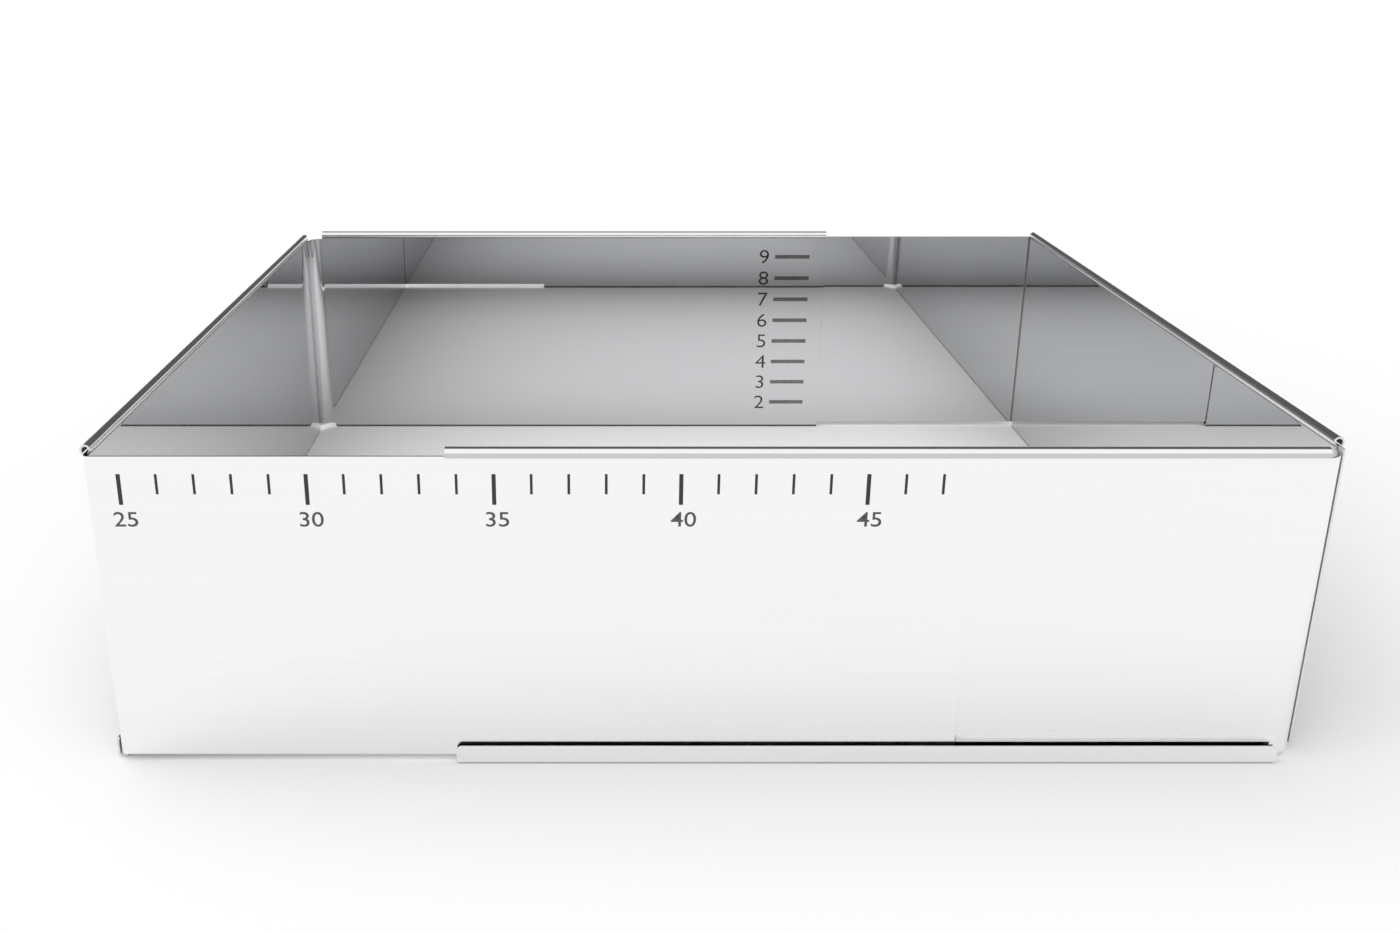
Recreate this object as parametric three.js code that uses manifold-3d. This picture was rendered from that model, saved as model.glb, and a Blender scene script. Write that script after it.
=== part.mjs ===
// Adjustable baking frame: four folded steel corners that slide in each other's edges.
//
// Two rimmed corners carry a rolled rim along the top and an upturned lip along the foot.
// Two plain corners are flat folded sheets that run in those rims and lips, outside the
// rimmed sheets. Drawing the corners apart sets the length (X) and the width (Y).
// Millimetres, +Z up, the origin on the table under the middle of the frame.

import * as THREE from 'three';
import { mergeVertices } from 'three/addons/utils/BufferGeometryUtils.js';
import Module from 'manifold-3d';

// Sheets
const SHEET = 0.6; // steel thickness
const FRAME_HEIGHT = 97.5; // foot to top of the rolled rim
const RIMMED_LEG = 240.6; // outer corner plane to free end of a rimmed leg
const PLAIN_SHORTFALL = 1.8; // how much shorter a plain leg is than a rimmed one

// How far the frame stands open, counted from fully closed
const LENGTH_DRAWN_OUT = 94.6;
const WIDTH_DRAWN_OUT = 0;

// Running clearances
const SLIDE_GAP = 0.3; // rimmed sheet to the plain sheet on its outside
const RIM_GAP = 0.35; // plain sheet to the rim that hooks over it
const LIP_GAP = 0.9; // plain sheet to the lip in front of it
const END_GAP = 0.4; // free rimmed end to the inner plane of the wall it meets when closed
const RIM_CLEARANCE = 1.9; // top of the plain sheet to the inside of the rim
const FLOOR_CLEARANCE = 1.6; // foot of the plain sheet to the floor of the channel

// Rolled rim
const RIM_SKIRT = 0.6; // straight flank below the middle of the roll
const RIM_TUCK = Math.PI / 4; // how far the foot of the flank turns back in
const RIM_TUCK_RADIUS = 1.0;
const RIM_BULGE = 0.55; // how far the roll stands inside the wall
const RIM_FILLET = 0.6; // hollow where the wall turns into the roll
const RIM_SETBACK = 6.2; // rim end to the outer corner plane
const RIM_ROOT = 2.4; // stretch of sheet shared by rim and wall
const RIM_STEPS = 16;

// Foot channel and its lip
const LIP_HEIGHT = 5.8;
const LIP_SETBACK = 6.6; // end of lip and channel to the outer corner plane
const LIP_CORNER = 1.6; // rounding of the lip's ends
const LIP_LAP = 0.6; // stretch shared by lip and channel
const FOOT_FILLET = 0.4; // inside radius where the wall turns into the channel
const LIP_FILLET = 0.6; // inside radius where the channel turns into the lip
const FOOT_ROOT = 3.2; // stretch of sheet shared by channel and wall
const FILLET_STEPS = 4;

// Corner bends
const RIMMED_BEND = 5.2; // inside radius
const PLAIN_BEND = 1.2; // inside radius
const BEND_TOP_DROP = 3.4; // wall top below the rim top where no rim covers it
const BEND_FOOT = 2.0; // wall foot above the table where no channel carries it
const BEND_STEPS = 10;

// Distances outwards from the inner face of a rimmed sheet
const PLAIN_IN = SHEET + SLIDE_GAP;
const PLAIN_OUT = PLAIN_IN + SHEET;
const RIM_IN = PLAIN_OUT + RIM_GAP;
const RIM_OUT = RIM_IN + SHEET;
const LIP_IN = PLAIN_OUT + LIP_GAP;
const LIP_OUT = LIP_IN + SHEET;

// Derived sizes
const RIM_RADIUS = (RIM_OUT + RIM_BULGE) / 2;
const RIM_ACROSS = RIM_OUT - RIM_RADIUS;
const RIM_MIDDLE = FRAME_HEIGHT - RIM_RADIUS;
const RIM_TURN = Math.acos((RIM_ACROSS + RIM_FILLET) / (RIM_RADIUS + RIM_FILLET));
const RIM_HOLLOW = RIM_MIDDLE - (RIM_RADIUS + RIM_FILLET) * Math.sin(RIM_TURN);
const RIMMED_END = RIMMED_LEG - SHEET;
const LIP_START = LIP_SETBACK - SHEET;
const PLAIN_END = RIMMED_LEG - PLAIN_SHORTFALL - PLAIN_OUT;
const PLAIN_FOOT = SHEET + FLOOR_CLEARANCE;
const PLAIN_TOP = FRAME_HEIGHT - SHEET - RIM_CLEARANCE;
const CLOSED_INSIDE = RIMMED_END + END_GAP;
const INSIDE_LENGTH = CLOSED_INSIDE + LENGTH_DRAWN_OUT;
const INSIDE_WIDTH = CLOSED_INSIDE + WIDTH_DRAWN_OUT;
const QUARTER_TURN = Math.PI / 2;

const STEEL = {
  color: 0xc9ccd0,
  metalness: 1.0,
  roughness: 0.28,
};

const wasm = await Module();
wasm.setup();

function toSolid(geometry) {
  const bare = geometry.clone();
  bare.deleteAttribute('normal');
  bare.deleteAttribute('uv');
  const merged = mergeVertices(bare);
  return new wasm.Manifold(new wasm.Mesh({
    numProp: 3,
    vertProperties: new Float32Array(merged.attributes.position.array),
    triVerts: new Uint32Array(merged.index.array),
  }));
}

function toGeometry(solid) {
  const mesh = solid.getMesh();
  const geometry = new THREE.BufferGeometry();
  geometry.setAttribute('position', new THREE.BufferAttribute(mesh.vertProperties, 3));
  geometry.setIndex(new THREE.BufferAttribute(mesh.triVerts, 1));
  geometry.computeVertexNormals();
  return geometry;
}

// Arc from one angle to another as points, for outlines that turn both ways.
function arc(outline, x, y, radius, from, to, steps) {
  for (let i = 0; i <= steps; i += 1) {
    const angle = from + ((to - from) * i) / steps;
    outline.push(new THREE.Vector2(x + radius * Math.cos(angle), y + radius * Math.sin(angle)));
  }
}

function extrude(outline, depth) {
  return new THREE.ExtrudeGeometry(new THREE.Shape(outline), {
    depth,
    bevelEnabled: false,
    steps: 1,
  });
}

// A corner is drawn with its inner faces on the planes x = 0 and y = 0 and its legs along
// +x and +y. These two place a section (outwards, up) along one leg or the other.
function alongX(outline, start, end) {
  const geometry = extrude(outline, end - start);
  const outwards = new THREE.Vector3(0, -1, 0);
  const up = new THREE.Vector3(0, 0, 1);
  const back = new THREE.Vector3(-1, 0, 0);
  const place = new THREE.Matrix4().makeBasis(outwards, up, back).setPosition(end, 0, 0);
  return geometry.applyMatrix4(place);
}

function alongY(outline, start, end) {
  const geometry = extrude(outline, end - start);
  const outwards = new THREE.Vector3(-1, 0, 0);
  const up = new THREE.Vector3(0, 0, 1);
  const onwards = new THREE.Vector3(0, 1, 0);
  const place = new THREE.Matrix4().makeBasis(outwards, up, onwards).setPosition(0, start, 0);
  return geometry.applyMatrix4(place);
}

// Plan of a folded sheet: two legs and a bend, between two distances outwards.
function foldedPlan(inner, outer, end, bendRadius) {
  const outline = [];
  const middle = bendRadius - inner;
  outline.push(new THREE.Vector2(end, -outer));
  outline.push(new THREE.Vector2(end, -inner));
  arc(outline, middle, middle, bendRadius, 3 * QUARTER_TURN, 2 * QUARTER_TURN, BEND_STEPS);
  outline.push(new THREE.Vector2(-inner, end));
  outline.push(new THREE.Vector2(-outer, end));
  arc(outline, middle, middle, bendRadius + outer - inner, 2 * QUARTER_TURN, 3 * QUARTER_TURN,
    BEND_STEPS);
  return outline;
}

function foldedSheet(plan, foot, top) {
  return extrude(plan, top - foot).translate(0, 0, foot);
}

// Section of the rolled rim with the stretch of sheet that it grows from.
function rimSection() {
  const outline = [];
  const root = FRAME_HEIGHT - BEND_TOP_DROP - RIM_ROOT;
  const tuckAcross = RIM_OUT - RIM_TUCK_RADIUS;
  const tuckUp = RIM_MIDDLE - RIM_SKIRT;
  outline.push(new THREE.Vector2(0, root));
  outline.push(new THREE.Vector2(SHEET, root));
  arc(outline, -RIM_FILLET, RIM_HOLLOW, RIM_FILLET + SHEET, 0, RIM_TURN, FILLET_STEPS);
  arc(outline, RIM_ACROSS, RIM_MIDDLE, RIM_RADIUS - SHEET, Math.PI + RIM_TURN, 0, RIM_STEPS);
  arc(outline, tuckAcross, tuckUp, RIM_TUCK_RADIUS - SHEET, 0, -RIM_TUCK, FILLET_STEPS);
  arc(outline, tuckAcross, tuckUp, RIM_TUCK_RADIUS, -RIM_TUCK, 0, FILLET_STEPS);
  arc(outline, RIM_ACROSS, RIM_MIDDLE, RIM_RADIUS, 0, Math.PI + RIM_TURN, RIM_STEPS);
  arc(outline, -RIM_FILLET, RIM_HOLLOW, RIM_FILLET, RIM_TURN, 0, FILLET_STEPS);
  return outline;
}

// Section of the foot channel, from the sheet round to the start of the lip.
function channelSection() {
  const outline = [];
  const footBend = SHEET + FOOT_FILLET;
  const lipBend = SHEET + LIP_FILLET;
  const lipMiddle = LIP_OUT - lipBend;
  outline.push(new THREE.Vector2(0, BEND_FOOT + FOOT_ROOT));
  arc(outline, footBend, footBend, footBend, 2 * QUARTER_TURN, 3 * QUARTER_TURN, FILLET_STEPS);
  arc(outline, lipMiddle, lipBend, lipBend, -QUARTER_TURN, 0, FILLET_STEPS);
  outline.push(new THREE.Vector2(LIP_OUT, lipBend + LIP_LAP));
  outline.push(new THREE.Vector2(LIP_IN, lipBend + LIP_LAP));
  arc(outline, lipMiddle, lipBend, LIP_FILLET, 0, -QUARTER_TURN, FILLET_STEPS);
  arc(outline, footBend, footBend, FOOT_FILLET, 3 * QUARTER_TURN, 2 * QUARTER_TURN, FILLET_STEPS);
  outline.push(new THREE.Vector2(SHEET, BEND_FOOT + FOOT_ROOT));
  return outline;
}

// Lip with rounded ends, drawn flat as (along, up) and stood on the leg along +x.
function lipPlate() {
  const outline = [];
  const start = LIP_START + LIP_CORNER;
  const end = RIMMED_END - LIP_CORNER;
  const low = SHEET + LIP_FILLET;
  const high = LIP_HEIGHT - LIP_CORNER;
  outline.push(new THREE.Vector2(RIMMED_END, low));
  arc(outline, end, high, LIP_CORNER, 0, QUARTER_TURN, FILLET_STEPS);
  arc(outline, start, high, LIP_CORNER, QUARTER_TURN, 2 * QUARTER_TURN, FILLET_STEPS);
  outline.push(new THREE.Vector2(LIP_START, low));
  return extrude(outline, SHEET).rotateX(QUARTER_TURN).translate(0, -LIP_IN, 0);
}

// The leg along +y is the leg along +x seen in the diagonal mirror.
function mirrored(geometry) {
  const swap = new THREE.Matrix4().set(0, 1, 0, 0, 1, 0, 0, 0, 0, 0, 1, 0, 0, 0, 0, 1);
  const copy = geometry.clone().applyMatrix4(swap);
  const points = copy.attributes.position;
  const a = new THREE.Vector3();
  const b = new THREE.Vector3();
  for (let i = 0; i < points.count; i += 3) {
    a.fromBufferAttribute(points, i);
    b.fromBufferAttribute(points, i + 1);
    points.setXYZ(i, b.x, b.y, b.z);
    points.setXYZ(i + 1, a.x, a.y, a.z);
  }
  return copy;
}

function rimmedCorner() {
  const wall = foldedSheet(
    foldedPlan(0, SHEET, RIMMED_END, RIMMED_BEND),
    BEND_FOOT,
    FRAME_HEIGHT - BEND_TOP_DROP,
  );
  const rimStart = RIM_SETBACK - SHEET;
  const lip = lipPlate();
  const additions = [
    alongX(rimSection(), rimStart, RIMMED_END),
    alongY(rimSection(), rimStart, RIMMED_END),
    alongX(channelSection(), LIP_START, RIMMED_END),
    alongY(channelSection(), LIP_START, RIMMED_END),
    lip,
    mirrored(lip),
  ];
  return toGeometry(additions.reduce((solid, piece) => solid.add(toSolid(piece)), toSolid(wall)));
}

function plainCorner() {
  return foldedSheet(foldedPlan(PLAIN_IN, PLAIN_OUT, PLAIN_END, PLAIN_BEND), PLAIN_FOOT, PLAIN_TOP);
}

function cornerMesh(name, geometry, x, y, turn) {
  const mesh = new THREE.Mesh(geometry, new THREE.MeshStandardMaterial(STEEL));
  mesh.name = name;
  mesh.position.set((x * INSIDE_LENGTH) / 2, (y * INSIDE_WIDTH) / 2, 0);
  mesh.rotation.z = turn;
  return mesh;
}

const rimmed = rimmedCorner();
const plain = plainCorner();

const group = new THREE.Group();
group.add(cornerMesh('rimmed_corner_back_left', rimmed, -1, 1, -QUARTER_TURN));
group.add(cornerMesh('rimmed_corner_front_right', rimmed, 1, -1, QUARTER_TURN));
group.add(cornerMesh('plain_corner_front_left', plain, -1, -1, 0));
group.add(cornerMesh('plain_corner_back_right', plain, 1, 1, 2 * QUARTER_TURN));

export default group;
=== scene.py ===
"""Adjustable baking frame: four folded steel corners with their scales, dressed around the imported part."""

import math
from collections import namedtuple

import bmesh
import bpy
from bpy.props import FloatProperty, FloatVectorProperty, IntProperty, PointerProperty
from mathutils import Matrix, Vector


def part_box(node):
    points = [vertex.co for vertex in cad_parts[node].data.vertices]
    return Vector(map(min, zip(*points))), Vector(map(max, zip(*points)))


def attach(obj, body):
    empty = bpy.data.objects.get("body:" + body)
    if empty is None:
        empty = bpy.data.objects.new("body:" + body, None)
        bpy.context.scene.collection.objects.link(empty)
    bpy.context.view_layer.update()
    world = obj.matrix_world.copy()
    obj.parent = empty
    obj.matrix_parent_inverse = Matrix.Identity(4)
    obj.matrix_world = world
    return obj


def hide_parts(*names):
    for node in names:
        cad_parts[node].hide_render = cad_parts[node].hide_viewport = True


bl_info = {
    "name": "Adjustable Baking Frame",
    "version": (1, 0, 0),
    "blender": (4, 5, 0),
    "location": "View3D > Sidebar > Baking Frame",
    "description": "Folded steel corners of a baking frame, their scales and a studio stage",
    "category": "Add Mesh",
}

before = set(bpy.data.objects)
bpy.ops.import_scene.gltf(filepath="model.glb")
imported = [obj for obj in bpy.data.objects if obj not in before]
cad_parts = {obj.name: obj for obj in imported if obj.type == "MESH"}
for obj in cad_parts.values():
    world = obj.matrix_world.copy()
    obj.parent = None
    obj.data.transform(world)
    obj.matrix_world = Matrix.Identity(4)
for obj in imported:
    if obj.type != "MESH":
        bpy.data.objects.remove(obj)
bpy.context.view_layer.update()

MM = 0.001
NEAR = 1e-6
HALF_CORNER = math.radians(45)
QUARTER_TURN = math.radians(90)
HALF_TURN = math.radians(180)

RIM_STEPS = 20
FOOT_STEPS = 5
CORNER_STEPS = 8
ROUND_STEPS = 6
EDGE_STEPS = 2
BAR_STEPS = 2
FONT_STEPS = 6
SHEARED_ANGLE = math.radians(50)
BAR_SOFTNESS = 0.12

# A zone has three slots: the face drawn, its back and the sheared edge. Here is the first slot of each zone,
# of both kinds of corner, then of rimmed and of plain corners.
WALL_ZONE = 0
FOOT_ZONE = 3
RIM_ZONE = 6
BEND_ZONE = 9
# The hollow, skirt and crease zones and the plain bend zone are painted darker as shade.
HOLLOW_SHADE_ZONE = 12
SKIRT_SHADE_ZONE = 15
CREASE_SHADE_ZONE = 18
FREE_END_ZONE = 3
PLAIN_BEND_SHADE_ZONE = 6

# Name of the sheet, CAD node, body and turn about Z from a corner whose legs run along +X and +Y.
RIMMED_CORNERS = (
    ("back_left_rimmed_sheet", "rimmed_corner_back_left", "back_left", -90),
    ("front_right_rimmed_sheet", "rimmed_corner_front_right", "front_right", 90),
)
PLAIN_CORNERS = (
    ("front_left_plain_sheet", "plain_corner_front_left", "front_left", 0),
    ("back_right_plain_sheet", "plain_corner_back_right", "back_right", 180),
)

# Lines along and across the leg per metre, depth of tone, spread of the roughness and strength of the bump.
Grain = namedtuple("Grain", "along across tone spread bump")
POLISHED = Grain(10.0, 1800.0, 0.04, 0.004, 0.004)
BRUSHED = Grain(6.0, 2400.0, 0.05, 0.04, 0.05)
ROLLED = Grain(8.0, 2000.0, 0.04, 0.05, 0.03)
SHEARED = Grain(60.0, 3000.0, 0.15, 0.1, 0.1)
CREASED = Grain(8.0, 900.0, 0.3, 0.1, 0.1)
UNBRUSHED = Grain(8.0, 900.0, 0.3, 0.2, 0.1)
GRAIN_DEPTH = 0.02 * MM
SMUDGE_SCALE = 18.0

# Scale of the wear on ink and marks, how much lighter it makes them, and their roughness from whole to worn.
INK_WEAR_SCALE = 900.0
INK_WEAR = 1.35
INK_POLISH = (0.45, 0.6)
MARK_POLISH = (0.03, 0.06)

# Share of a sheet's colour that lights the floor.
FLOOR_BOUNCE = 0.08

RISING = (0.0, 1.0)
FALLING = (1.0, 0.0)
GRAIN_RANGE = (0.25, 0.75)
SMUDGE_RANGE = (0.42, 0.72)
FACING_RANGE = (0.4, 0.6)
SOFT_LINE = 0.1 * MM

# Where the light fades: towards the front, the same as the steel mirrors it, up from the horizon, and
# towards the screen that stands behind on the left.
FRONT = (-0.26, -0.966, 0.0)
SCREEN = (-0.707, 0.707, 0.0)
FRONT_FADE = (-0.40, 0.40)
MIRRORED_FADE = (-0.22, 0.08)
HORIZON_FADE = (0.09, 0.25)
SCREEN_FADE = (0.45, 0.85)
WHITE = (1.0, 1.0, 1.0, 1.0)


def length(name, description, default):
    """A length property in metres."""
    return FloatProperty(name=name, description=description, default=default, unit="LENGTH", precision=5)


def angle(name, description, degrees):
    """An angle property with its default in degrees."""
    return FloatProperty(name=name, description=description, default=math.radians(degrees), unit="ROTATION")


def share(name, description, default):
    """A property from 0 to 1."""
    return FloatProperty(
        name=name, description=description, default=default, min=0.0, max=1.0, subtype="FACTOR"
    )


def number(name, description, default):
    """A plain number property."""
    return FloatProperty(name=name, description=description, default=default)


def count(name, description, default):
    """A whole number property."""
    return IntProperty(name=name, description=description, default=default)


def colour(name, description, default):
    """A linear colour property."""
    return FloatVectorProperty(
        name=name, description=description, default=default, size=3, min=0.0, max=1.0, subtype="COLOR"
    )


class BakingFrameSheets(bpy.types.PropertyGroup):
    """Sizes of the folded sheets"""

    thickness: length("Sheet", "Thickness of the steel sheet", 0.6 * MM)
    edge_round: length("Edge round", "Rounding of the sheared edges", 0.14 * MM)
    rim_radius: length("Rim radius", "Outer radius of the rolled rim", 1.5 * MM)
    rim_bulge: length("Rim bulge", "How far the roll stands inside the wall", 0.55 * MM)
    rim_fillet: length("Rim fillet", "Hollow where the wall turns into the roll", 0.6 * MM)
    rim_skirt: length("Rim skirt", "Straight part below the roll on the outside", 0.6 * MM)
    skirt_rise: length("Skirt rise", "How far the skirt's painted shade reaches up the roll", 0.2 * MM)
    rim_tuck: angle("Rim tuck", "How far the foot of the rim turns back in", 45)
    rim_tuck_radius: length("Rim tuck radius", "Outer radius of the tuck", 1.0 * MM)
    rim_setback: length("Rim setback", "Where the rim starts, from the inner corner", 5.6 * MM)
    lip_reach: length("Lip reach", "Outer face of the lip from the inner plane of the frame", 3.0 * MM)
    lip_height: length("Lip height", "Top of the upturned lip above the table", 5.8 * MM)
    lip_setback: length("Lip setback", "Where lip and foot start, from the inner corner", 6.0 * MM)
    lip_corner: length("Lip corner", "Rounding of the ends of the lip", 1.6 * MM)
    lip_relief: length("Lip relief", "Rounding of the foot where the lip ends", 0.8 * MM)
    lip_bend: length("Lip bend", "Outer radius of the bend under the lip", 1.2 * MM)
    foot_bend: length("Foot bend", "Outer radius of the bend under the wall", 1.0 * MM)
    rimmed_bend: length("Rimmed bend", "Inner radius of a rimmed corner", 5.2 * MM)
    bend_drop: length("Bend drop", "Gap from the top of the rim to the wall in the bend", 3.4 * MM)
    bend_foot: length("Bend foot", "Height of the foot of the wall in the bend", 2.0 * MM)
    plain_inset: length("Plain inset", "From the inner plane of the frame to a plain sheet", 0.9 * MM)
    plain_bend: length("Plain bend", "Inner radius of a plain corner", 1.2 * MM)
    plain_round: length("Plain round", "Rounding of the free corners of a plain sheet", 1.0 * MM)
    free_end: length("Free end", "Stretch at the ends of a plain sheet with its own finish", 4.0 * MM)


class BakingFrameScales(bpy.types.PropertyGroup):
    """Sizes of the scales"""

    first_reading: count("First reading", "Lowest number on the front scale", 25)
    mark_count: count("Marks", "Number of marks on the front scale", 23)
    numbered_every: count("Numbered", "A mark has a number where this divides its reading", 5)
    mark_pitch: length("Pitch", "Distance between marks on the front scale", 10.0 * MM)
    first_offset: length("First mark", "First mark from the left outer face", 9.25 * MM)
    mark_top: length("Mark top", "Top of the marks above the table", 89.9 * MM)
    short_mark: length("Short mark", "Length of a short mark", 5.9 * MM)
    long_mark: length("Long mark", "Length of a numbered mark", 9.0 * MM)
    short_width: length("Short width", "Width of a short mark", 0.74 * MM)
    long_width: length("Long width", "Width of a numbered mark", 1.12 * MM)
    number_foot: length("Number foot", "Foot of the front numbers above the table", 74.4 * MM)
    number_height: length("Number height", "Height of the front numbers", 4.4 * MM)
    number_shift: length("Number shift", "Front numbers to the right of their marks", 0.75 * MM)
    number_widen: number("Number widening", "Widening of the front numbers", 1.14)
    number_swell: number("Number swelling", "Outline offset of the front numbers in the font's units", 0.004)
    print_height: length("Print", "Thickness of the print", 0.03 * MM)
    first_digit: count("First digit", "Lowest number on the inside scale", 2)
    digit_count: count("Bars", "Number of bars on the inside scale", 8)
    bar_low: length("Lowest bar", "Height of the lowest bar of the inside scale", 12.9 * MM)
    bar_pitch: length("Bar pitch", "Distance between bars of the inside scale", 10.38 * MM)
    bar_left: length("Bar left", "Left end of the bars", 49.1 * MM)
    bar_length: length("Bar length", "Length of the bars", 16.2 * MM)
    bar_width: length("Bar width", "Width of the bars", 1.80 * MM)
    digit_centre: length("Digit centre", "Middle of the inside numbers", 44.1 * MM)
    digit_height: length("Digit height", "Height of the inside numbers", 6.5 * MM)
    digit_widen: number("Digit widening", "Widening of the inside numbers", 1.12)
    digit_swell: number("Digit swelling", "Outline offset of the inside numbers in the font's units", -0.006)


class BakingFrameFinishes(bpy.types.PropertyGroup):
    """Colours and polish of the sheets and the scales, with shade painted in the foot channel, the rim's
    hollow and skirt, the crease, the tight bend and on the plain walls' edges
    """

    outer_colour: colour("Outer steel", "Brushed outside of the sheets", (0.925, 0.93, 0.94))
    inner_colour: colour("Inner steel", "Polished inside of the sheets", (0.685, 0.69, 0.70))
    rim_colour: colour("Rim steel", "Bright outside of the rolled rim", (0.93, 0.935, 0.94))
    # Painted shade: the outside of the rim below the roll is painted darker, standing in for the mirrored
    # shadow at the frame's foot.
    skirt_colour: colour("Rim skirt", "Outside of the rim below the roll", (0.60, 0.605, 0.61))
    # Painted shade: the hollow under the roll is painted near black as its shadow line.
    hollow_colour: colour("Painted rim hollow shade", "Hollow where the wall turns into the roll", (0.12, 0.12, 0.122))
    # Painted shade: the crease at the foot of the wall is painted near black as the shadow line there.
    crease_colour: colour("Painted crease shade", "Crease at the foot of the wall", (0.12, 0.12, 0.122))
    # Painted shade: the inside of the tight bend is painted dark as the shade in the corner.
    bend_colour: colour("Plain bend", "Inside of the tight bend of a plain corner", (0.30, 0.30, 0.305))
    inside_colour: colour("Rim inside", "Inside of the roll", (0.60, 0.60, 0.605))
    press_colour: colour("Press mark", "Matt line that the press leaves along the foot", (0.84, 0.84, 0.845))
    free_colour: colour("Free end", "Inside of a plain sheet at its free end", (0.92, 0.92, 0.925))
    edge_colour: colour("Cut edge", "Sheared edges of rimmed sheets and free ends", (0.80, 0.805, 0.81))
    # Painted reflection: the sheared edges of the plain walls are painted dark, so their top edge shows the
    # dim sky it mirrors as a dark line.
    raw_colour: colour("Painted dark edge", "Sheared edges of the plain walls", (0.22, 0.22, 0.225))
    # Painted shade: the wall down in the foot channel is painted near black, as the deep slot is dark.
    channel_colour: colour("Painted channel shade", "Painted shade down in the foot channel", (0.03, 0.03, 0.031))
    ink_colour: colour("Ink", "Marks of the front scale", (0.014, 0.014, 0.015))
    number_colour: colour("Number ink", "Numbers of the front scale", (0.055, 0.055, 0.058))
    digit_colour: colour("Digit mark", "Numbers of the inside scale", (0.055, 0.055, 0.057))
    bar_colour: colour("Bar mark", "Bars of the inside scale", (0.165, 0.165, 0.168))
    outer_roughness: share("Outer roughness", "Roughness of the brushed outside", 0.13)
    inner_roughness: share("Inner roughness", "Roughness of the polished inside", 0.006)
    edge_roughness: share("Edge roughness", "Roughness of rims, bends and sheared edges", 0.16)
    inside_roughness: share("Rim inside roughness", "Roughness inside the roll", 0.5)
    dull_line: length("Dull line", "Height to which the foot channel is dull", 4.7 * MM)
    press_low: length("Press mark foot", "Where the press mark starts above the table", 5.75 * MM)
    press_high: length("Press mark top", "Where the press mark starts to fade", 7.1 * MM)
    press_fade: length("Press mark fade", "Height over which the press mark fades", 1.4 * MM)


class BakingFrameStage(bpy.types.PropertyGroup):
    """Light, floor and camera"""

    floor_colour: colour("Floor", "Colour of the floor", (0.97, 0.97, 0.97))
    floor_lift: share("Floor lift", "White added to the floor where it is seen or mirrored", 0.07)
    floor_reach: length("Floor reach", "From the middle of the floor to its edge", 30.0)
    floor_drop: length("Floor drop", "How far the floor lies below the frame's foot", 0.1 * MM)
    bright: number("Bright", "Strength of the light from the front", 0.5)
    dim: number("Dim", "Strength of the light from behind", 0.10)
    mirrored: number("Mirrored", "Strength of the light from the front as the steel mirrors it", 1.0)
    horizon: number("Horizon", "Strength of the light at the horizon", 1.0)
    screen: share("Screen", "How much of the horizon the screen takes from the steel", 0.75)
    overhead: number("Overhead", "Strength of the soft lamp above", 2.5)
    lamp_spread: angle("Lamp spread", "Angle that the lamp fills, seen from the frame", 110)
    lamp_turn: FloatVectorProperty(
        name="Lamp turn", description="Turn of the lamp from straight above",
        default=(math.radians(24), math.radians(-26), 0.0), subtype="EULER",
    )
    camera_place: FloatVectorProperty(
        name="Camera", description="Place of the camera", default=(-0.02977, -0.40440, 0.22460), subtype="XYZ"
    )
    pitch: angle("Pitch", "Tilt of the camera below level", 15.967)
    focal_length: number("Lens", "Focal length in millimetres", 29.867)
    shift: FloatVectorProperty(
        name="Shift", description="Shift that the framing needs", default=(0.0670, -0.1339), size=2
    )


def line_to(bm, vert, across, up):
    """Draws a section on from a vertex in a straight line and returns the new end."""
    end = bmesh.ops.extrude_vert_indiv(bm, verts=[vert])["verts"][0]
    bmesh.ops.translate(bm, verts=[end], vec=(0.0, across, up))
    return end


def arc_to(bm, vert, across, up, turn, steps):
    """Draws a section on from a vertex round a centre at the given offset and returns the new end."""
    made = bmesh.ops.spin(
        bm, geom=[vert], cent=vert.co + Vector((0.0, across, up)), axis=(1.0, 0.0, 0.0),
        angle=turn, steps=steps,
    )
    return next(item for item in made["geom_last"] if isinstance(item, bmesh.types.BMVert))


def draw_out(bm, edges, along):
    """Draws edges out along the leg and returns the new vertices."""
    made = bmesh.ops.extrude_edge_only(bm, edges=edges)["geom"]
    verts = [item for item in made if isinstance(item, bmesh.types.BMVert)]
    bmesh.ops.translate(bm, verts=verts, vec=(along, 0.0, 0.0))
    return verts


def end_edges(bm, along, wanted):
    """Edges of the section at a distance along the leg whose middle passes the test."""
    found = []
    for edge in bm.edges:
        if all(abs(vert.co.x - along) < NEAR for vert in edge.verts):
            middle = (edge.verts[0].co + edge.verts[1].co) / 2
            if wanted(middle):
                found.append(edge)
    return found


def round_corners(bm, verts, radius):
    """Rounds corners of a sheet."""
    bmesh.ops.bevel(
        bm, geom=verts, offset=radius, offset_type="OFFSET", affect="VERTICES",
        segments=ROUND_STEPS, profile=0.5, material=-1,
    )


def half_bend(bm, edges, radius):
    """Turns a wall through half of its corner, up to the diagonal."""
    verts = list({vert for edge in edges for vert in edge.verts})
    bmesh.ops.spin(
        bm, geom=verts + edges, cent=(max(vert.co.x for vert in verts), verts[0].co.y + radius, 0.0),
        axis=(0.0, 0.0, 1.0), angle=-HALF_CORNER, steps=CORNER_STEPS,
    )


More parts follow.
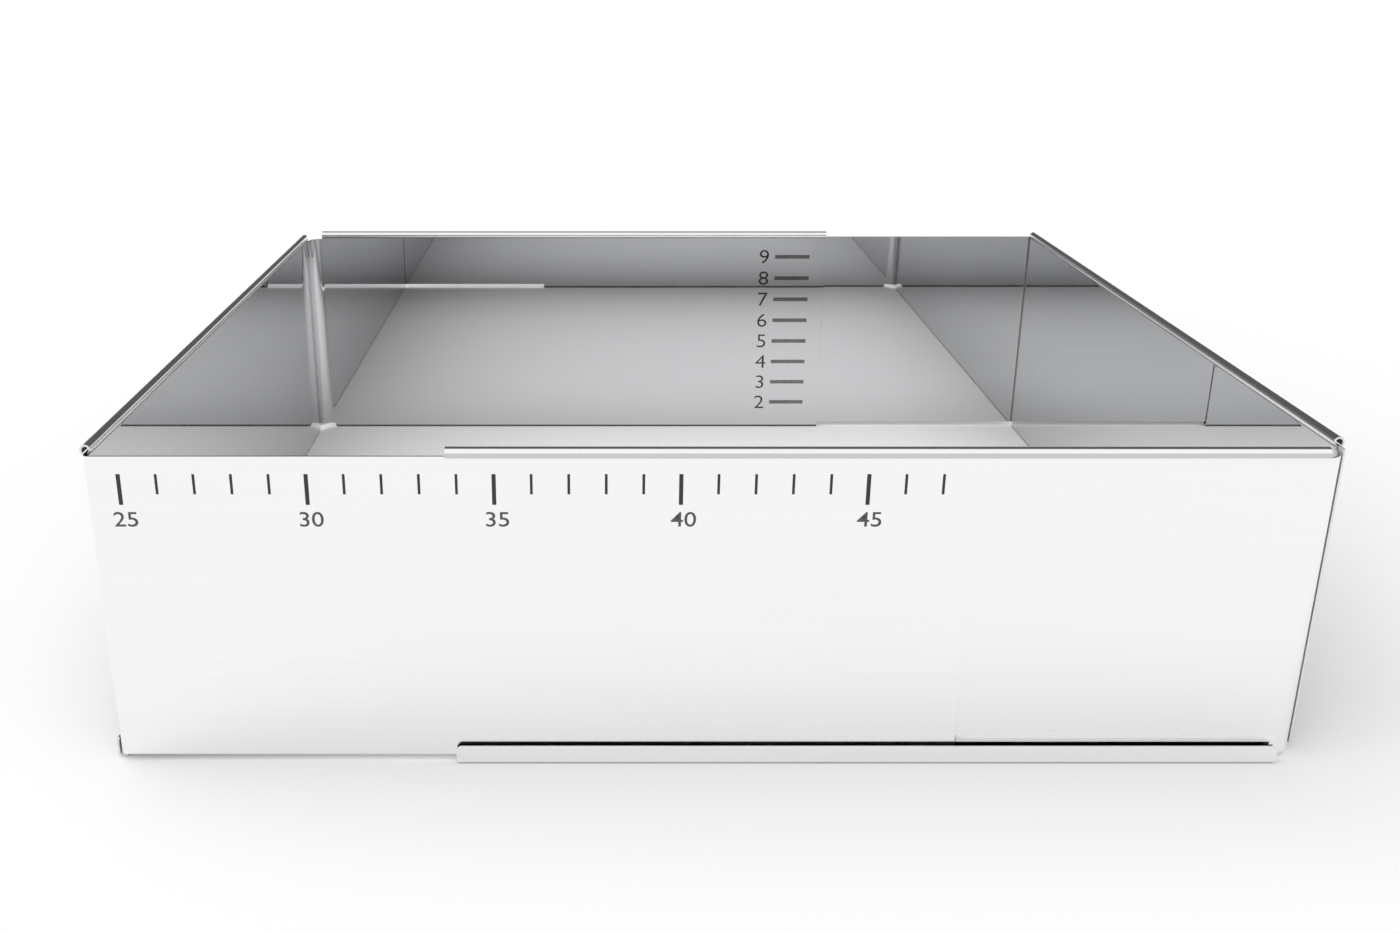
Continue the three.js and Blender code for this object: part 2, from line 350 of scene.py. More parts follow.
def both_legs(bm):
    """Mirrors one leg and half the bend over the diagonal, and faces the sheet to the inside of the frame."""
    diagonal = Matrix.Rotation(HALF_CORNER, 3, "Z")
    bmesh.ops.rotate(bm, cent=(0.0, 0.0, 0.0), matrix=diagonal, verts=bm.verts[:])
    everything = bm.verts[:] + bm.edges[:] + bm.faces[:]
    bmesh.ops.mirror(bm, geom=everything, matrix=Matrix.Identity(4), merge_dist=NEAR, axis="X")
    bmesh.ops.rotate(bm, cent=(0.0, 0.0, 0.0), matrix=diagonal.inverted(), verts=bm.verts[:])
    bmesh.ops.remove_doubles(bm, verts=bm.verts[:], dist=NEAR)
    bmesh.ops.recalc_face_normals(bm, faces=bm.faces[:])
    wall = max(bm.faces, key=lambda face: face.calc_area())
    if wall.normal.x + wall.normal.y < 0:
        bmesh.ops.reverse_faces(bm, faces=bm.faces[:])


def corner_place(node, turn, reach):
    """Inner corner of the frame at a node, the length of the node's legs from there, and its foot and top."""
    low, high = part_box(node)
    outwards = Matrix.Rotation(math.radians(turn), 3, "Z") @ Vector((-1.0, -1.0, 0.0))
    x = high.x - reach if outwards.x > 0 else low.x + reach
    y = high.y - reach if outwards.y > 0 else low.y + reach
    return Vector((x, y, 0.0)), high.x - low.x - reach, low.z, high.z


def rimmed_sheet(bm, sizes, leg, top):
    """Draws the face of half a rimmed corner: lip, foot, wall and rolled rim along the leg, and the bend."""
    reach = sizes.lip_reach
    rim_line = top - sizes.rim_radius
    roll = sizes.rim_radius + sizes.rim_fillet
    turn = math.acos((roll - sizes.rim_bulge) / roll)
    hollow_line = rim_line - roll * math.sin(turn)
    hollow_top = hollow_line + sizes.rim_fillet * math.sin(turn)
    bend_top = top - sizes.bend_drop
    start = bm.verts.new((leg, -reach, sizes.lip_height))
    end = line_to(bm, start, 0.0, sizes.lip_bend - sizes.lip_height)
    end = arc_to(bm, end, sizes.lip_bend, 0.0, QUARTER_TURN, FOOT_STEPS)
    end = line_to(bm, end, reach - sizes.lip_bend - sizes.foot_bend, 0.0)
    end = arc_to(bm, end, 0.0, sizes.foot_bend, QUARTER_TURN, FOOT_STEPS)
    for height in (sizes.bend_foot, bend_top, hollow_line):
        end = line_to(bm, end, 0.0, height - end.co.z)
    end = arc_to(bm, end, sizes.rim_fillet, 0.0, -turn, FOOT_STEPS)
    across, up = -sizes.rim_radius * math.cos(turn), sizes.rim_radius * math.sin(turn)
    end = arc_to(bm, end, across, up, HALF_TURN + turn, RIM_STEPS)
    end = line_to(bm, end, 0.0, -sizes.rim_skirt)
    arc_to(bm, end, sizes.rim_tuck_radius, 0.0, sizes.rim_tuck, FOOT_STEPS)
    bend = sizes.rimmed_bend
    ends = draw_out(bm, bm.edges[:], sizes.lip_setback - leg)
    lip_top = [
        vert for vert in ends
        if vert.co.y < NEAR - reach and abs(vert.co.z - sizes.lip_height) < NEAR
    ]
    for vert in ends:
        if vert.co.z < sizes.lip_bend:
            depth = 1.0 - vert.co.z / sizes.lip_bend
            relief = sizes.lip_relief * (1.0 - math.sqrt(max(0.0, 1.0 - depth * depth)))
            bmesh.ops.translate(bm, verts=[vert], vec=(relief, 0.0, 0.0))

    def above_foot(middle):
        return middle.z > top / 2 or (abs(middle.y) < NEAR and middle.z > sizes.bend_foot)

    def in_wall(middle):
        return abs(middle.y) < NEAR and sizes.bend_foot < middle.z < bend_top

    draw_out(bm, end_edges(bm, sizes.lip_setback, above_foot), sizes.rim_setback - sizes.lip_setback)
    draw_out(bm, end_edges(bm, sizes.rim_setback, in_wall), bend - sizes.rim_setback)
    half_bend(bm, end_edges(bm, bend, in_wall), bend)
    round_corners(bm, lip_top + [start], sizes.lip_corner)
    # The hollow under the roll, the skirt below it and the crease at the foot get painted shade.
    for face in bm.faces:
        middle = face.calc_center_median()
        if middle.z > hollow_line:
            face.material_index = RIM_ZONE
            if middle.y > -sizes.thickness and middle.z < hollow_top:
                face.material_index = HOLLOW_SHADE_ZONE
            elif middle.y < -sizes.rim_radius and middle.z < rim_line + sizes.skirt_rise:
                face.material_index = SKIRT_SHADE_ZONE
        elif middle.x < sizes.lip_setback:
            face.material_index = BEND_ZONE
        elif -sizes.foot_bend < middle.y < -NEAR and middle.z < sizes.foot_bend:
            face.material_index = CREASE_SHADE_ZONE
        elif middle.y < -NEAR:
            face.material_index = FOOT_ZONE


def plain_sheet(bm, sizes, leg, low, high):
    """Draws the face of half a plain corner: a wall along the leg and round a tight bend."""
    foot = bm.verts.new((leg, -sizes.plain_inset, low))
    head = line_to(bm, foot, 0.0, high - low)
    bend = sizes.plain_bend - sizes.plain_inset
    free = leg - sizes.free_end
    draw_out(bm, bm.edges[:], -sizes.free_end)
    draw_out(bm, end_edges(bm, free, lambda middle: True), bend - free)
    half_bend(bm, end_edges(bm, bend, lambda middle: True), sizes.plain_bend)
    for face in bm.faces:
        along = face.calc_center_median().x
        if along > free:
            face.material_index = FREE_END_ZONE
        elif along > bend:
            face.material_index = WALL_ZONE
        else:
            face.material_index = PLAIN_BEND_SHADE_ZONE
    round_corners(bm, [foot, head], sizes.plain_round)


def finish_sheet(bm, name, turn, place, sizes, materials):
    """Places a drawn sheet, and gives it its thickness, rounded edges and finishes."""
    both_legs(bm)
    turned = Matrix.Translation(place) @ Matrix.Rotation(math.radians(turn), 4, "Z")
    bmesh.ops.transform(bm, matrix=turned, space=Matrix.Identity(4), verts=bm.verts[:])
    for face in bm.faces:
        face.smooth = True
    sheet = new_piece(bm, name, materials)
    solid = sheet.modifiers.new("Sheet", "SOLIDIFY")
    solid.thickness = sizes.thickness
    solid.offset = -1.0
    solid.use_even_offset = True
    solid.material_offset = 1
    solid.material_offset_rim = 2
    edges = sheet.modifiers.new("Sheared edges", "BEVEL")
    edges.width = sizes.edge_round
    edges.segments = EDGE_STEPS
    edges.limit_method = "ANGLE"
    edges.angle_limit = SHEARED_ANGLE
    normals = sheet.modifiers.new("Flat faces", "WEIGHTED_NORMAL")
    normals.mode = "FACE_AREA"
    normals.weight = 100
    normals.keep_sharp = False
    return sheet


def new_piece(bm, name, materials):
    """Makes a finished bmesh an object at the origin."""
    if not bm.faces:
        raise RuntimeError(f"{name} has no faces")
    mesh = bpy.data.meshes.new(name)
    bm.to_mesh(mesh)
    bm.free()
    for material in materials:
        mesh.materials.append(material)
    piece = bpy.data.objects.new(name, mesh)
    bpy.context.scene.collection.objects.link(piece)
    return piece


def add_bar(bm, centre, size):
    """Adds a bar whose four edges along Y are softened."""
    made = bmesh.ops.create_cube(bm, size=1.0)["verts"]
    bmesh.ops.scale(bm, vec=size, verts=made)
    corners = [
        edge for edge in {edge for vert in made for edge in vert.link_edges}
        if abs(edge.verts[0].co.y - edge.verts[1].co.y) > NEAR
    ]
    softened = bmesh.ops.bevel(
        bm, geom=corners, offset=min(size[0], size[2]) * BAR_SOFTNESS, affect="EDGES",
        segments=BAR_STEPS, profile=0.5, material=-1,
    )
    verts = set(softened["verts"]) | {vert for vert in made if vert.is_valid}
    bmesh.ops.translate(bm, vec=centre, verts=list(verts))


def add_number(bm, text, height, widen, swell, depth, place):
    """Adds a number as a mesh that stands in the XZ plane and faces -Y, with its foot at the given place."""
    curve = bpy.data.curves.new(f"number_{text}", "FONT")
    curve.body = text
    curve.align_x = "CENTER"
    curve.offset = swell
    curve.extrude = 0.5
    curve.resolution_u = FONT_STEPS
    holder = bpy.data.objects.new(f"number_{text}", curve)
    mesh = bpy.data.meshes.new_from_object(holder)
    bpy.data.objects.remove(holder)
    bpy.data.curves.remove(curve)
    before = set(bm.verts)
    bm.from_mesh(mesh)
    bpy.data.meshes.remove(mesh)
    verts = [vert for vert in bm.verts if vert not in before]
    low = min(vert.co.y for vert in verts)
    tall = max(vert.co.y for vert in verts) - low
    middle = (min(vert.co.x for vert in verts) + max(vert.co.x for vert in verts)) / 2
    bmesh.ops.translate(bm, vec=(-middle, -low, 0.0), verts=verts)
    bmesh.ops.scale(bm, vec=(height / tall * widen, height / tall, depth), verts=verts)
    stand = Matrix.Translation(place) @ Matrix.Rotation(QUARTER_TURN, 4, "X")
    bmesh.ops.transform(bm, matrix=stand, space=Matrix.Identity(4), verts=verts)


def finish_print(bm, name, material, body):
    """Makes the marks of a scale an object that rides on a sheet's body."""
    bmesh.ops.remove_doubles(bm, verts=bm.verts[:], dist=NEAR)
    bmesh.ops.recalc_face_normals(bm, faces=bm.faces[:])
    piece = new_piece(bm, name, [material])
    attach(piece, body)
    return piece


def new_group(name, inputs, outputs):
    """Makes a shader node group with named sockets and returns it with its input and output nodes."""
    tree = bpy.data.node_groups.new(name, "ShaderNodeTree")
    for socket, kind, default in inputs:
        made = tree.interface.new_socket(socket, in_out="INPUT", socket_type=kind)
        if default is not None:
            made.default_value = default
    for socket, kind in outputs:
        tree.interface.new_socket(socket, in_out="OUTPUT", socket_type=kind)
    return tree, tree.nodes.new("NodeGroupInput"), tree.nodes.new("NodeGroupOutput")


def first_node(tree, kind):
    """The first node of a kind in a tree."""
    return next(node for node in tree.nodes if node.type == kind)


def feed(tree, socket, value):
    """Links an output to a socket, or sets the socket to a value."""
    if isinstance(value, bpy.types.NodeSocket):
        tree.links.new(value, socket)
    else:
        socket.default_value = value


def math_node(tree, operation, first, second):
    """A math node on two sockets or values."""
    node = tree.nodes.new("ShaderNodeMath")
    node.operation = operation
    feed(tree, node.inputs[0], first)
    feed(tree, node.inputs[1], second)
    return node.outputs["Value"]


def ranged(tree, value, limits, results, smooth=False):
    """A value carried from one range to another."""
    node = tree.nodes.new("ShaderNodeMapRange")
    node.interpolation_type = "SMOOTHSTEP" if smooth else "LINEAR"
    tree.links.new(value, node.inputs["Value"])
    for socket, edge in zip(("From Min", "From Max", "To Min", "To Max"), (*limits, *results)):
        node.inputs[socket].default_value = edge
    return node.outputs["Result"]


def noise(tree, vector, scale, detail, roughness):
    """A noise texture read at a vector."""
    node = tree.nodes.new("ShaderNodeTexNoise")
    tree.links.new(vector, node.inputs["Vector"])
    feed(tree, node.inputs["Scale"], scale)
    node.inputs["Detail"].default_value = detail
    node.inputs["Roughness"].default_value = roughness
    return node.outputs["Fac"]


def axis_of(tree, vector, axis):
    """One axis of a vector."""
    node = tree.nodes.new("ShaderNodeSeparateXYZ")
    tree.links.new(vector, node.inputs["Vector"])
    return node.outputs[axis]


def along_direction(tree, vector, direction):
    """How far a vector runs along a direction."""
    node = tree.nodes.new("ShaderNodeVectorMath")
    node.operation = "DOT_PRODUCT"
    tree.links.new(vector, node.inputs[0])
    node.inputs[1].default_value = direction
    return node.outputs["Value"]


def mixed(tree, factor, first, second):
    """A colour between two colours, each an output or a value."""
    node = tree.nodes.new("ShaderNodeMix")
    node.data_type = "RGBA"
    feed(tree, node.inputs["Factor"], factor)
    feed(tree, node.inputs["A"], first)
    feed(tree, node.inputs["B"], second)
    return next(socket for socket in node.outputs if socket.type == "RGBA")


def between(tree, factor, first, second):
    """A value between the values of two outputs."""
    node = tree.nodes.new("ShaderNodeMix")
    tree.links.new(factor, node.inputs["Factor"])
    tree.links.new(first, node.inputs["A"])
    tree.links.new(second, node.inputs["B"])
    return node.outputs["Result"]


def toned(base, factor=1.0):
    """A colour times a factor, with alpha."""
    return (*[channel * factor for channel in base], 1.0)


def rolled_grain_group():
    """Fine lines along the legs, left by rolling and brushing the sheet."""
    existing = bpy.data.node_groups.get("Rolled Grain")
    if existing:
        return existing
    tree, given, result = new_group(
        "Rolled Grain",
        [
            ("Vector", "NodeSocketVector", None),
            ("Along", "NodeSocketFloat", ROLLED.along),
            ("Across", "NodeSocketFloat", ROLLED.across),
        ],
        [("Grain", "NodeSocketFloat")],
    )
    split = tree.nodes.new("ShaderNodeSeparateXYZ")
    tree.links.new(given.outputs["Vector"], split.inputs["Vector"])
    run = math_node(tree, "ADD", split.outputs["X"], split.outputs["Y"])
    join = tree.nodes.new("ShaderNodeCombineXYZ")
    tree.links.new(math_node(tree, "MULTIPLY", run, given.outputs["Along"]), join.inputs["X"])
    tree.links.new(math_node(tree, "MULTIPLY", split.outputs["Z"], given.outputs["Across"]), join.inputs["Y"])
    grain = noise(tree, join.outputs["Vector"], scale=1.0, detail=4.0, roughness=0.65)
    tree.links.new(ranged(tree, grain, GRAIN_RANGE, RISING), result.inputs["Grain"])
    return tree


def handling_group():
    """Soft smudges from handling and wiping."""
    existing = bpy.data.node_groups.get("Handling Marks")
    if existing:
        return existing
    tree, given, result = new_group(
        "Handling Marks",
        [("Vector", "NodeSocketVector", None), ("Scale", "NodeSocketFloat", SMUDGE_SCALE)],
        [("Smudge", "NodeSocketFloat")],
    )
    cloud = noise(tree, given.outputs["Vector"], given.outputs["Scale"], detail=3.0, roughness=0.55)
    tree.links.new(ranged(tree, cloud, SMUDGE_RANGE, RISING, True), result.inputs["Smudge"])
    return tree


def placed_group(tree, group, vector, **values):
    """Places a node group in a material with its own values and returns its first output."""
    node = tree.nodes.new("ShaderNodeGroup")
    node.node_tree = group
    tree.links.new(vector, node.inputs["Vector"])
    for socket, value in values.items():
        node.inputs[socket].default_value = value
    return node.outputs[0]


def new_surface(name):
    """A material with a Principled shader, its tree and the Object coordinates."""
    material = bpy.data.materials.new(name)
    material.use_nodes = True
    tree = material.node_tree
    place = tree.nodes.new("ShaderNodeTexCoord").outputs["Object"]
    return material, tree, first_node(tree, "BSDF_PRINCIPLED"), place


def channel_marks(tree, place, tint, finishes):
    """Tint and matt mask of a rimmed wall's outside: down in the foot channel, faces to the front or back get
    painted shade and faces to the side go matt; pressed above it.
    """
    line = finishes.dull_line
    press_low, press_high = finishes.press_low, finishes.press_high
    height = axis_of(tree, place, "Z")
    inside = ranged(tree, height, (line, line + SOFT_LINE), FALLING)
    facing = tree.nodes.new("ShaderNodeTexCoord").outputs["Normal"]
    front = math_node(tree, "ABSOLUTE", axis_of(tree, facing, "Y"), 0.0)
    sideways = math_node(tree, "MULTIPLY", inside, ranged(tree, front, FACING_RANGE, FALLING))
    shaded = math_node(tree, "MULTIPLY", inside, ranged(tree, front, FACING_RANGE, RISING))
    # Painted shade: faces to the front or back down in the channel take the near black colour.
    tint = mixed(tree, shaded, tint, toned(finishes.channel_colour))
    started = ranged(tree, height, (press_low - SOFT_LINE, press_low), RISING)
    faded = ranged(tree, height, (press_high, press_high + finishes.press_fade), FALLING, True)
    pressed = math_node(tree, "MAXIMUM", math_node(tree, "MULTIPLY", started, faded), sideways)
    return mixed(tree, pressed, tint, toned(finishes.press_colour)), pressed


def steel(name, base, roughness, grain, channel=None, metal=1.0):
    """Sheet steel with rolled grain, handling marks and a fine bump, and a foot channel with painted shade
    and matt marks if one is given.
    """
    existing = bpy.data.materials.get(name)
    if existing:
        return existing
    material, tree, shader, place = new_surface(name)
    shader.inputs["Metallic"].default_value = metal
    lines = placed_group(tree, rolled_grain_group(), place, Along=grain.along, Across=grain.across)
    smudge = placed_group(tree, handling_group(), place, Scale=SMUDGE_SCALE)
    tint = mixed(tree, lines, toned(base, 1.0 - grain.tone), toned(base))
    scored = ranged(tree, lines, RISING, (0.0, grain.spread))
    wiped = ranged(tree, smudge, RISING, (0.0, grain.spread))
    worn = math_node(tree, "ADD", scored, wiped)
    polish = math_node(tree, "ADD", worn, roughness - grain.spread / 2)
    if channel:
        tint, pressed = channel_marks(tree, place, tint, channel)
        tree.links.new(math_node(tree, "SUBTRACT", 1.0, pressed), shader.inputs["Metallic"])
    to_floor = tree.nodes.new("ShaderNodeLightPath").outputs["Is Diffuse Ray"]
    tree.links.new(mixed(tree, to_floor, tint, toned(base, FLOOR_BOUNCE)), shader.inputs["Base Color"])
    tree.links.new(polish, shader.inputs["Roughness"])
    relief = tree.nodes.new("ShaderNodeBump")
    relief.inputs["Strength"].default_value = grain.bump
    relief.inputs["Distance"].default_value = GRAIN_DEPTH
    tree.links.new(lines, relief.inputs["Height"])
    tree.links.new(relief.outputs["Normal"], shader.inputs["Normal"])
    return material


def ink(name, base, polish, metal=0.0):
    """Printed ink, or steel darkened as a mark, with a little wear."""
    existing = bpy.data.materials.get(name)
    if existing:
        return existing
    material, tree, shader, place = new_surface(name)
    smudge = placed_group(tree, handling_group(), place, Scale=INK_WEAR_SCALE)
    tree.links.new(mixed(tree, smudge, toned(base), toned(base, INK_WEAR)), shader.inputs["Base Color"])
    tree.links.new(ranged(tree, smudge, RISING, polish), shader.inputs["Roughness"])
    shader.inputs["Metallic"].default_value = metal
    return material


def inner_steel(finishes):
    """Polished steel on the inside of the frame."""
    return steel("Polished inner steel", finishes.inner_colour, finishes.inner_roughness, POLISHED)


def outer_steel(finishes):
    """Brushed steel on the outside of the frame."""
    return steel("Brushed outer steel", finishes.outer_colour, finishes.outer_roughness, BRUSHED)


def edge_steel(finishes):
    """Bright steel of edges that were sheared and deburred."""
    return steel("Sheared edge steel", finishes.edge_colour, finishes.edge_roughness, SHEARED)


def rimmed_finishes(finishes):
    """Finishes of a rimmed corner, one zone to a line, in the order of the zones, with painted shade in the
    hollow, skirt and crease zones and down in the foot channel.
    """
    polish = finishes.edge_roughness
    back = steel("Brushed steel with painted channel shade", finishes.outer_colour, finishes.outer_roughness, BRUSHED, finishes)
    rim = steel("Rolled rim steel", finishes.rim_colour, polish, ROLLED)
    inner = inner_steel(finishes)
    outer = outer_steel(finishes)
    edge = edge_steel(finishes)
    # Painted shade: the skirt, the hollow and the crease are steel painted darker.
    skirt = steel("Painted rim skirt shade", finishes.skirt_colour, polish, ROLLED)
    hollow = steel("Painted rim hollow shade steel", finishes.hollow_colour, polish, ROLLED)
    inside = steel("Rim inside steel", finishes.inside_colour, finishes.inside_roughness, UNBRUSHED)
    crease = steel("Crease steel", finishes.crease_colour, polish, CREASED)
    return [
        inner, back, edge,
        outer, back, edge,
        rim, inside, edge,
        inner, outer, edge,
        hollow, inside, edge,
        skirt, inside, edge,
        crease, back, edge,
    ]


def plain_finishes(finishes):
    """Finishes of a plain corner, one zone to a line, in the order of the zones, with painted shade in the
    bend zone and a painted dark reflection on the sheared edges of the walls.
    """
    polish = finishes.edge_roughness
    outer = outer_steel(finishes)
    # Painted reflection: the sheared wall edges are steel painted dark.
    raw = steel("Painted dark edge steel", finishes.raw_colour, polish, SHEARED)
    free = steel("Free end steel", finishes.free_colour, polish, SHEARED, metal=0.0)
    # Painted shade: the tight bend is steel painted dark.
    bend = steel("Painted tight bend shade", finishes.bend_colour, polish, CREASED)
    return [
        inner_steel(finishes), outer, raw,
        free, outer, edge_steel(finishes),
        bend, outer, raw,
    ]


class BAKINGFRAME_OT_rimmed_corners(bpy.types.Operator):
    """Make the two corners with a rolled rim and an upturned lip"""

    bl_idname = "baking_frame.rimmed_corners"
    bl_label = "Rimmed Corners"

    def execute(self, context):
        sizes = context.scene.baking_frame_sheets
        materials = rimmed_finishes(context.scene.baking_frame_finishes)
        for name, node, body, turn in RIMMED_CORNERS:
            place, leg, _, high = corner_place(node, turn, sizes.lip_reach)
            bm = bmesh.new()
            rimmed_sheet(bm, sizes, leg, high)
            sheet = finish_sheet(bm, name, turn, place, sizes, materials)
            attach(sheet, body)
            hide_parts(node)
        return {"FINISHED"}


class BAKINGFRAME_OT_plain_corners(bpy.types.Operator):
    """Make the two plain corners that slide in the rims and lips"""

    bl_idname = "baking_frame.plain_corners"
    bl_label = "Plain Corners"

    def execute(self, context):
        sizes = context.scene.baking_frame_sheets
        materials = plain_finishes(context.scene.baking_frame_finishes)
        for name, node, body, turn in PLAIN_CORNERS:
            place, leg, low, high = corner_place(node, turn, sizes.plain_inset + sizes.thickness)
            bm = bmesh.new()
            plain_sheet(bm, sizes, leg, low, high)
            sheet = finish_sheet(bm, name, turn, place, sizes, materials)
            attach(sheet, body)
            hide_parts(node)
        return {"FINISHED"}


class BAKINGFRAME_OT_length_scale(bpy.types.Operator):
    """Print the length scale on the front wall"""

    bl_idname = "baking_frame.length_scale"
    bl_label = "Length Scale"

    def execute(self, context):
        scale = context.scene.baking_frame_scales
        finishes = context.scene.baking_frame_finishes
        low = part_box("plain_corner_front_left")[0]
        depth = 2 * scale.print_height
        marks = bmesh.new()
        numbers = bmesh.new()
        for step in range(scale.mark_count):
            reading = scale.first_reading + step
            numbered = reading % scale.numbered_every == 0
            x = low.x + scale.first_offset + step * scale.mark_pitch
            tall = scale.long_mark if numbered else scale.short_mark
            wide = scale.long_width if numbered else scale.short_width
            add_bar(marks, (x, low.y, scale.mark_top - tall / 2), (wide, depth, tall))
            if numbered:
                place = (x + scale.number_shift, low.y, scale.number_foot)
                add_number(
                    numbers, str(reading), scale.number_height, scale.number_widen, scale.number_swell,
                    depth, place,
                )
        mark_ink = ink("Scale ink", finishes.ink_colour, INK_POLISH)
        number_ink = ink("Number ink", finishes.number_colour, INK_POLISH)
        finish_print(marks, "length_scale_marks", mark_ink, "front_left")
        finish_print(numbers, "length_scale_numbers", number_ink, "front_left")
        return {"FINISHED"}


class BAKINGFRAME_OT_height_scale(bpy.types.Operator):
    """Mark the height scale on the inside of the back wall"""

    bl_idname = "baking_frame.height_scale"
    bl_label = "Height Scale"

    def execute(self, context):
        scale = context.scene.baking_frame_scales
        sizes = context.scene.baking_frame_sheets
        finishes = context.scene.baking_frame_finishes
        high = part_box("rimmed_corner_back_left")[1]
        face = high.y - sizes.lip_reach
        depth = 2 * scale.print_height
        marks = bmesh.new()
        numbers = bmesh.new()
        for step in range(scale.digit_count):
            z = scale.bar_low + step * scale.bar_pitch
            centre = (scale.bar_left + scale.bar_length / 2, face, z)
            add_bar(marks, centre, (scale.bar_length, depth, scale.bar_width))
            place = (scale.digit_centre, face, z - scale.digit_height / 2)
            add_number(
                numbers, str(scale.first_digit + step), scale.digit_height, scale.digit_widen,
                scale.digit_swell, depth, place,
            )
        bar_mark = ink("Bar mark", finishes.bar_colour, MARK_POLISH, metal=1.0)
        digit_mark = ink("Digit mark", finishes.digit_colour, MARK_POLISH, metal=1.0)
        bars = finish_print(marks, "height_scale_marks", bar_mark, "back_left")
        digits = finish_print(numbers, "height_scale_numbers", digit_mark, "back_left")
        bars.visible_glossy = False
        digits.visible_glossy = False
        return {"FINISHED"}


def make_floor(stage):
    """A wide pale floor under the frame."""
    bm = bmesh.new()
    bmesh.ops.create_grid(bm, x_segments=1, y_segments=1, size=stage.floor_reach)
    bmesh.ops.translate(bm, verts=bm.verts[:], vec=(0.0, 0.0, -stage.floor_drop))
    material = bpy.data.materials.new("Pale floor")
    material.use_nodes = True
    tree = material.node_tree
    shader = first_node(tree, "BSDF_PRINCIPLED")
    shader.inputs["Base Color"].default_value = toned(stage.floor_colour)
    rays = tree.nodes.new("ShaderNodeLightPath").outputs
    seen = math_node(tree, "MAXIMUM", rays["Is Camera Ray"], rays["Is Glossy Ray"])
    seen = math_node(tree, "MAXIMUM", seen, rays["Is Transmission Ray"])
    shader.inputs["Emission Color"].default_value = WHITE
    tree.links.new(math_node(tree, "MULTIPLY", seen, stage.floor_lift), shader.inputs["Emission Strength"])
    shader.inputs["Roughness"].default_value = 1.0
    shader.inputs["Specular IOR Level"].default_value = 0.0
    floor = new_piece(bm, "floor", [material])


def make_light(stage):
    """Soft light all round: brighter in front, pale at the horizon and white to the camera."""
    world = bpy.data.worlds.new("Studio")
    bpy.context.scene.world = world
    world.use_nodes = True
    tree = world.node_tree
    background = first_node(tree, "BACKGROUND")
    direction = tree.nodes.new("ShaderNodeTexCoord").outputs["Generated"]
    rays = tree.nodes.new("ShaderNodeLightPath").outputs
    glossy = rays["Is Glossy Ray"]
    towards = along_direction(tree, direction, FRONT)
    front = ranged(tree, towards, FRONT_FADE, (stage.dim, stage.bright), True)
    mirrored = ranged(tree, towards, MIRRORED_FADE, (stage.dim, stage.mirrored), True)
    sky = between(tree, glossy, front, mirrored)
    behind = along_direction(tree, direction, SCREEN)
    screened = ranged(tree, behind, SCREEN_FADE, (0.0, stage.screen), True)
    screened = math_node(tree, "MULTIPLY", screened, glossy)
    horizon = math_node(tree, "SUBTRACT", stage.horizon, screened)
    low = ranged(tree, axis_of(tree, direction, "Z"), HORIZON_FADE, FALLING, True)
    strength = between(tree, low, sky, horizon)
    strength = math_node(tree, "MAXIMUM", strength, rays["Is Camera Ray"])
    tree.links.new(strength, background.inputs["Strength"])
    background.inputs["Color"].default_value = WHITE


def make_lamp(stage):
    """A very soft lamp overhead that lights the floor and isn't seen in the steel."""
    data = bpy.data.lights.new("Overhead", "SUN")
    data.energy = stage.overhead
    data.angle = stage.lamp_spread
    lamp = bpy.data.objects.new("Overhead", data)
    lamp.rotation_euler = stage.lamp_turn
    lamp.visible_glossy = False
    bpy.context.scene.collection.objects.link(lamp)


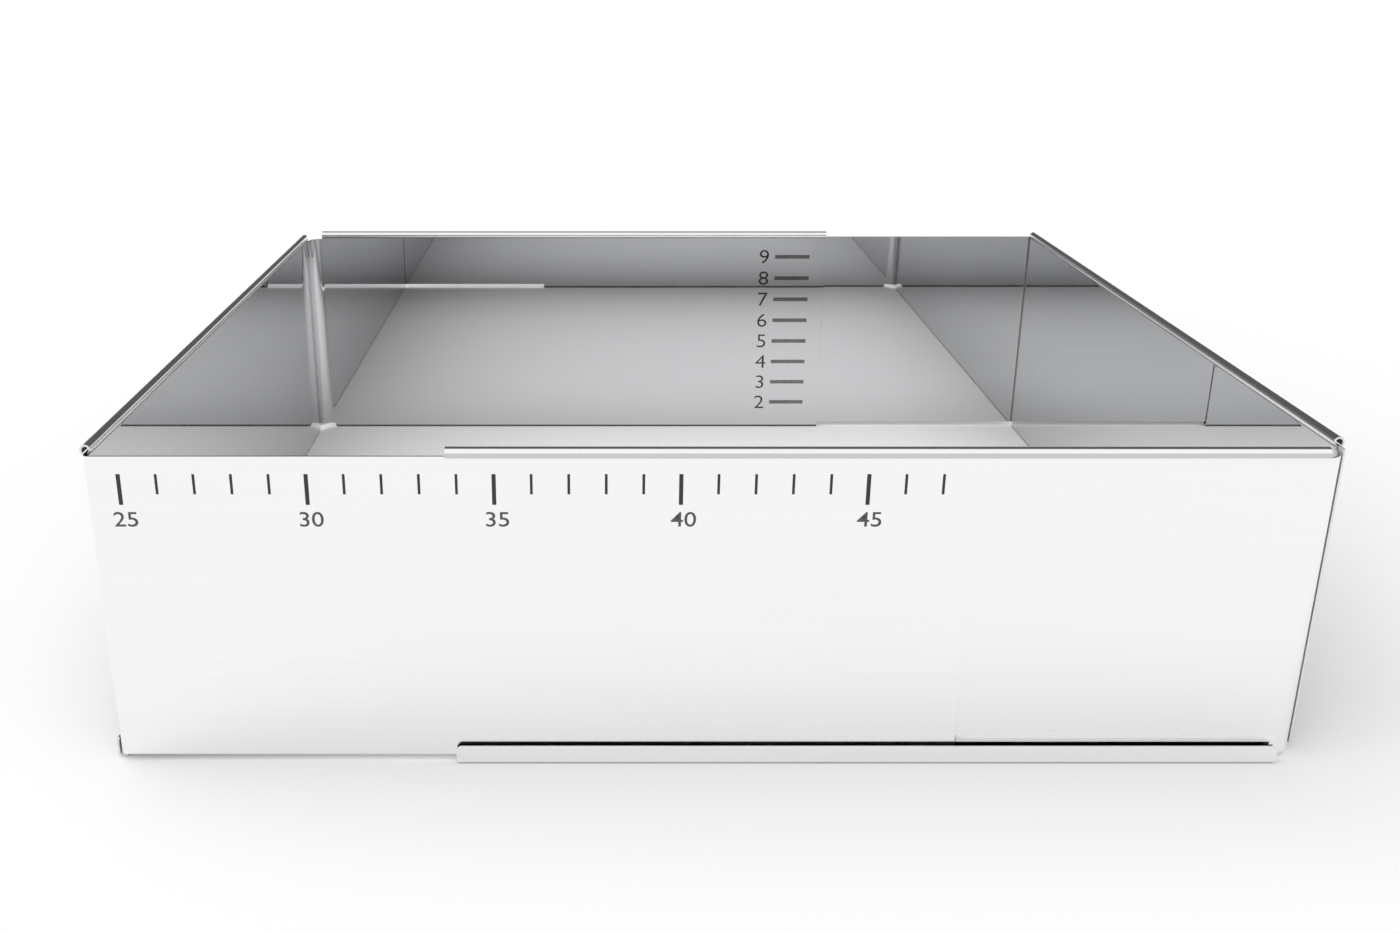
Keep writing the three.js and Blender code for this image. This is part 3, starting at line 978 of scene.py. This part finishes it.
def make_camera(stage):
    """The camera at the photo's viewing angle."""
    data = bpy.data.cameras.new("Camera")
    data.sensor_width = 36.0
    data.sensor_fit = "HORIZONTAL"
    data.lens = stage.focal_length
    data.shift_x, data.shift_y = stage.shift
    data.clip_start = 0.01
    data.clip_end = 100.0
    camera = bpy.data.objects.new("Camera", data)
    camera.location = stage.camera_place
    camera.rotation_euler = (QUARTER_TURN - stage.pitch, 0.0, 0.0)
    bpy.context.scene.collection.objects.link(camera)
    bpy.context.scene.camera = camera


class BAKINGFRAME_OT_stage(bpy.types.Operator):
    """Set up the floor, the soft light and the camera"""

    bl_idname = "baking_frame.stage"
    bl_label = "Stage"

    def execute(self, context):
        stage = context.scene.baking_frame_stage
        make_floor(stage)
        make_light(stage)
        make_lamp(stage)
        make_camera(stage)
        context.scene.view_settings.view_transform = "Standard"
        return {"FINISHED"}


class BAKINGFRAME_PT_panel(bpy.types.Panel):
    """Lists the pieces of the baking frame and their sizes"""

    bl_idname = "BAKINGFRAME_PT_panel"
    bl_label = "Baking Frame"
    bl_space_type = "VIEW_3D"
    bl_region_type = "UI"
    bl_category = "Baking Frame"

    def draw(self, context):
        for kind in OPERATORS:
            self.layout.operator(kind.bl_idname)
        for pointer, group in GROUPS.items():
            box = self.layout.box()
            for name in group.__annotations__:
                box.prop(getattr(context.scene, pointer), name)


GROUPS = {
    "baking_frame_sheets": BakingFrameSheets,
    "baking_frame_scales": BakingFrameScales,
    "baking_frame_finishes": BakingFrameFinishes,
    "baking_frame_stage": BakingFrameStage,
}
OPERATORS = (
    BAKINGFRAME_OT_rimmed_corners,
    BAKINGFRAME_OT_plain_corners,
    BAKINGFRAME_OT_length_scale,
    BAKINGFRAME_OT_height_scale,
    BAKINGFRAME_OT_stage,
)


def register():
    for kind in (*GROUPS.values(), *OPERATORS, BAKINGFRAME_PT_panel):
        bpy.utils.register_class(kind)
    for pointer, group in GROUPS.items():
        setattr(bpy.types.Scene, pointer, PointerProperty(type=group))


def unregister():
    for pointer in GROUPS:
        delattr(bpy.types.Scene, pointer)
    for kind in (BAKINGFRAME_PT_panel, *reversed(OPERATORS), *reversed(GROUPS.values())):
        bpy.utils.unregister_class(kind)


def main():
    register()
    bpy.ops.baking_frame.rimmed_corners()
    bpy.ops.baking_frame.plain_corners()
    bpy.ops.baking_frame.length_scale()
    bpy.ops.baking_frame.height_scale()
    bpy.ops.baking_frame.stage()


if __name__ == "__main__":
    main()
